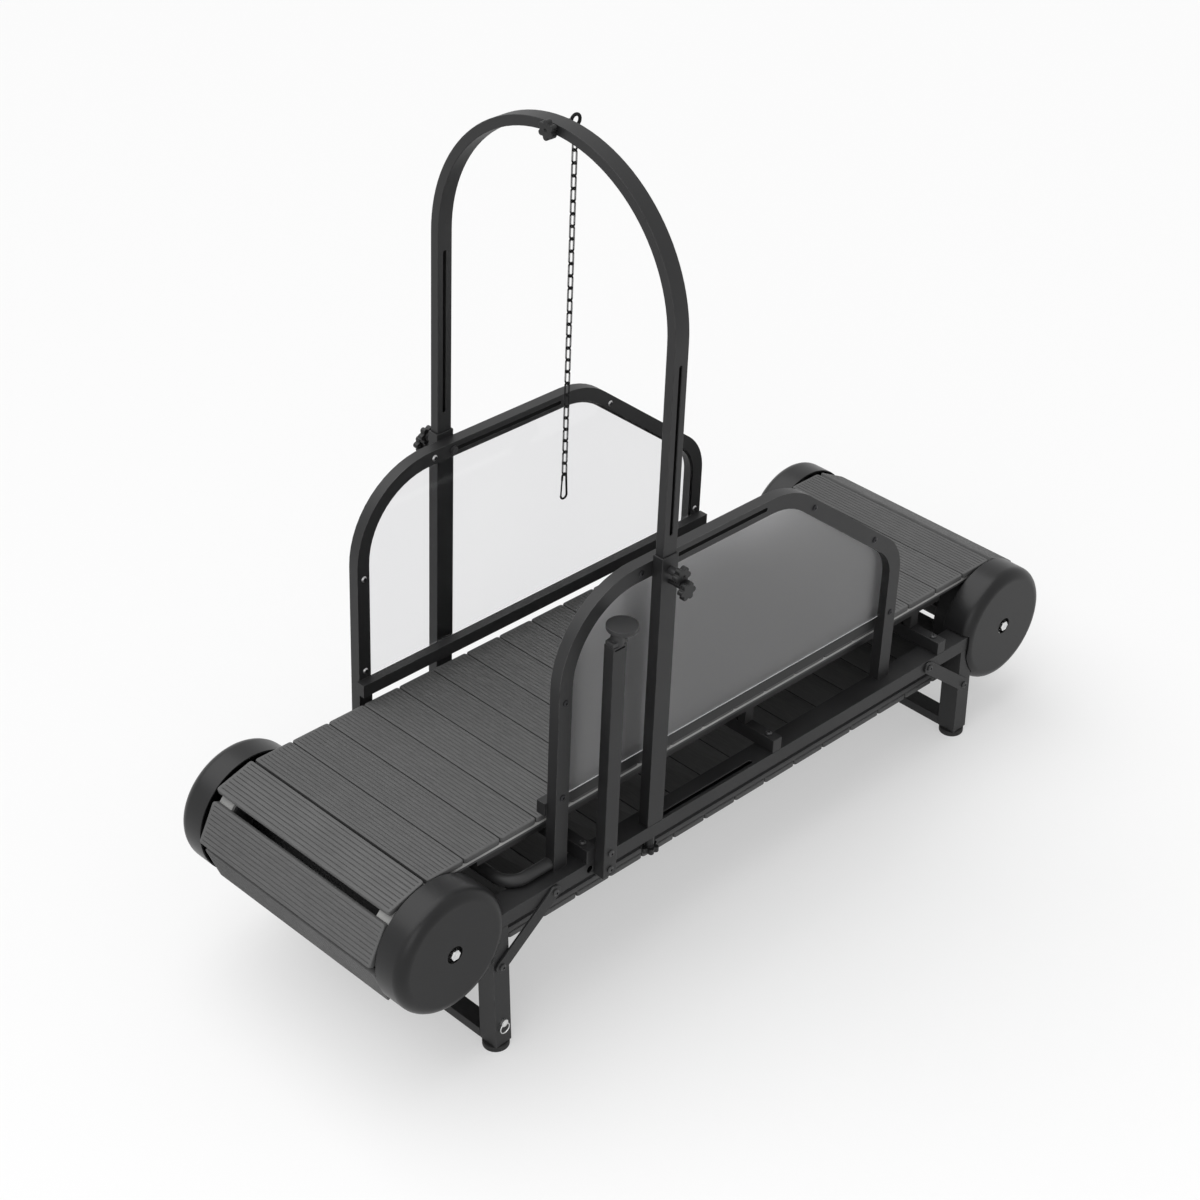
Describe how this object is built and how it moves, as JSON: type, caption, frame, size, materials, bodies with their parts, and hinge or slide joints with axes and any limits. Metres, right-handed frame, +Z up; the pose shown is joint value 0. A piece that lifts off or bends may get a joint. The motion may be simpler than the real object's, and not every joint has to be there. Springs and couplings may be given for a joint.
{
  "type": "dog treadmill",
  "caption": "Dog treadmill without a motor: a loop of ribbed slats round drums on a black steel frame, with clear side panels and a sliding arch that holds a leash chain.",
  "frame": {"origin": "middle of the overall box, on the floor under the foot pads", "axes": "+X along the belt towards the rear drum, +Y towards the far panel, +Z up"},
  "size_m": [1.8781, 0.724, 1.6602],
  "materials": {
    "black_metal": "satin black powder coat, fine orange peel",
    "black_plastic": "matt black moulded plastic",
    "black_steel": "black oxide steel, half gloss",
    "bright_steel": "zinc plated steel",
    "slat": "dark grey ribbed slat, matt",
    "belt": "light grey rubber",
    "clear": "clear acrylic with a light frost",
    "rubber_pad": "black rubber",
    "brass": "plain bronze",
    "guide": "black low-friction plastic"
  },
  "bodies": {
    "frame": {"rail_near": "black_metal", "rail_far": "black_metal", "cross_front": "black_metal", "cross_mid": "black_metal", "cross_rear": "black_metal", "tie_tube": "black_metal", "belt_guides": "guide", "short_post": "black_metal", "top_plate": "black_plastic", "frame_bolts": "black_steel", "panel_near": "black_metal", "panel_far": "black_metal", "sheet_near": "clear", "sheet_far": "clear", "panel_screws": "bright_steel", "front_leg_near": "black_metal", "front_leg_far": "black_metal", "rear_leg_near": "black_metal", "rear_leg_far": "black_metal", "leg_bars": "black_metal", "braces": "black_metal", "cover_front_near": "black_plastic", "cover_front_far": "black_plastic", "cover_rear_near": "black_plastic", "cover_rear_far": "black_plastic", "front_axle": "bright_steel", "rear_axle": "bright_steel", "bushings": "brass", "belt_near": "belt", "belt_far": "belt", "slats_top": "slat", "slats_bottom": "slat", "slats_ends": "slat", "slat_nuts": "brass", "rear_pads": "rubber_pad", "front_foot_near": "black_metal", "front_foot_far": "black_metal", "front_pad_near": "rubber_pad", "front_pad_far": "rubber_pad"},
    "front_drum": {"front_drum": "black_plastic"},
    "rear_drum": {"rear_drum": "black_plastic"},
    "pin_near": {"pin_near": "bright_steel"},
    "pin_far": {"pin_far": "bright_steel"},
    "carriage": {"post_near": "black_metal", "post_far": "black_metal", "slot_bolts": "black_steel"},
    "arch": {"arch": "black_metal", "eye_bolt": "black_steel", "eye_nut": "black_steel"},
    "knob_a_near": {"knob_a_near": "black_plastic"},
    "knob_a_far": {"knob_a_far": "black_plastic"},
    "knob_b_near": {"knob_b_near": "black_plastic"},
    "knob_b_far": {"knob_b_far": "black_plastic"},
    "knob_rail_near": {"knob_rail_near": "black_plastic"},
    "knob_rail_far": {"knob_rail_far": "black_plastic"},
    "knob_top": {"knob_top": "black_plastic"},
    "chain_top": {"chain_top": "black_steel"},
    "chain": {"chain": "black_steel"},
    "hook": {"hook": "black_steel"},
    "hook_gate": {"hook_gate": "bright_steel"}
  },
  "joints": [
    {"name": "front_drum_spin", "type": "hinge", "parent": "frame", "child": "front_drum", "pos_m": [-0.8019, 0, 0.3212], "axis": [0, 1, 0], "continuous": true},
    {"name": "rear_drum_spin", "type": "hinge", "parent": "frame", "child": "rear_drum", "pos_m": [0.8019, 0, 0.23715], "axis": [0, 1, 0], "continuous": true},
    {"name": "carriage_slide", "type": "slide", "parent": "frame", "child": "carriage", "axis": [0.9986, 0, -0.0523], "range_m": [0, 0.28]},
    {"name": "arch_height", "type": "slide", "parent": "carriage", "child": "arch", "axis": [0.0523, 0, 0.9986], "range_m": [0, 0.3]},
    {"name": "knob_a_near_turn", "type": "hinge", "parent": "carriage", "child": "knob_a_near", "pos_m": [-0.2479, -0.342, 0.88948], "axis": [0, 1, 0], "continuous": true},
    {"name": "knob_b_near_turn", "type": "hinge", "parent": "carriage", "child": "knob_b_near", "pos_m": [-0.24918, -0.356, 0.86502], "axis": [0, 1, 0], "continuous": true},
    {"name": "knob_rail_near_turn", "type": "hinge", "parent": "carriage", "child": "knob_rail_near", "pos_m": [-0.28142, -0.3015, 0.24986], "axis": [0.0523, 0, 0.9986], "continuous": true},
    {"name": "knob_a_far_turn", "type": "hinge", "parent": "carriage", "child": "knob_a_far", "pos_m": [-0.2479, 0.342, 0.88948], "axis": [0, 1, 0], "continuous": true},
    {"name": "knob_b_far_turn", "type": "hinge", "parent": "carriage", "child": "knob_b_far", "pos_m": [-0.24918, 0.356, 0.86502], "axis": [0, 1, 0], "continuous": true},
    {"name": "knob_rail_far_turn", "type": "hinge", "parent": "carriage", "child": "knob_rail_far", "pos_m": [-0.28142, 0.3015, 0.24986], "axis": [0.0523, 0, 0.9986], "continuous": true},
    {"name": "knob_top_turn", "type": "hinge", "parent": "arch", "child": "knob_top", "pos_m": [-0.23356, 0, 1.64076], "axis": [0.9986, 0, -0.0523], "continuous": true},
    {"name": "pin_near_pull", "type": "slide", "parent": "frame", "child": "pin_near", "axis": [0, -1, 0], "range_m": [0, 0.05]},
    {"name": "pin_far_pull", "type": "slide", "parent": "frame", "child": "pin_far", "axis": [0, 1, 0], "range_m": [0, 0.05]},
    {"name": "chain_swing", "type": "hinge", "parent": "arch", "child": "chain_top", "pos_m": [-0.17094, 0, 1.63182], "axis": [0, 1, 0], "range_deg": [-30, 30]},
    {"name": "chain_sway", "type": "hinge", "parent": "chain_top", "child": "chain", "pos_m": [-0.1722, 0, 1.60781], "axis": [0.9986, 0, -0.0523], "range_deg": [-20, 20]},
    {"name": "hook_swing", "type": "hinge", "parent": "chain", "child": "hook", "pos_m": [-0.20735, 0, 0.93718], "axis": [0.9986, 0, -0.0523], "range_deg": [-40, 40]},
    {"name": "hook_gate_open", "type": "hinge", "parent": "hook", "child": "hook_gate", "pos_m": [-0.21376, 0, 0.92179], "axis": [0, 1, 0], "range_deg": [-16, 0], "stiffness_Nm_per_rad": 0.02, "springref_deg": 20.05}
  ],
  "couplings": [
    {"joint": "rear_drum_spin", "follows": "front_drum_spin", "ratio": 1}
  ]
}
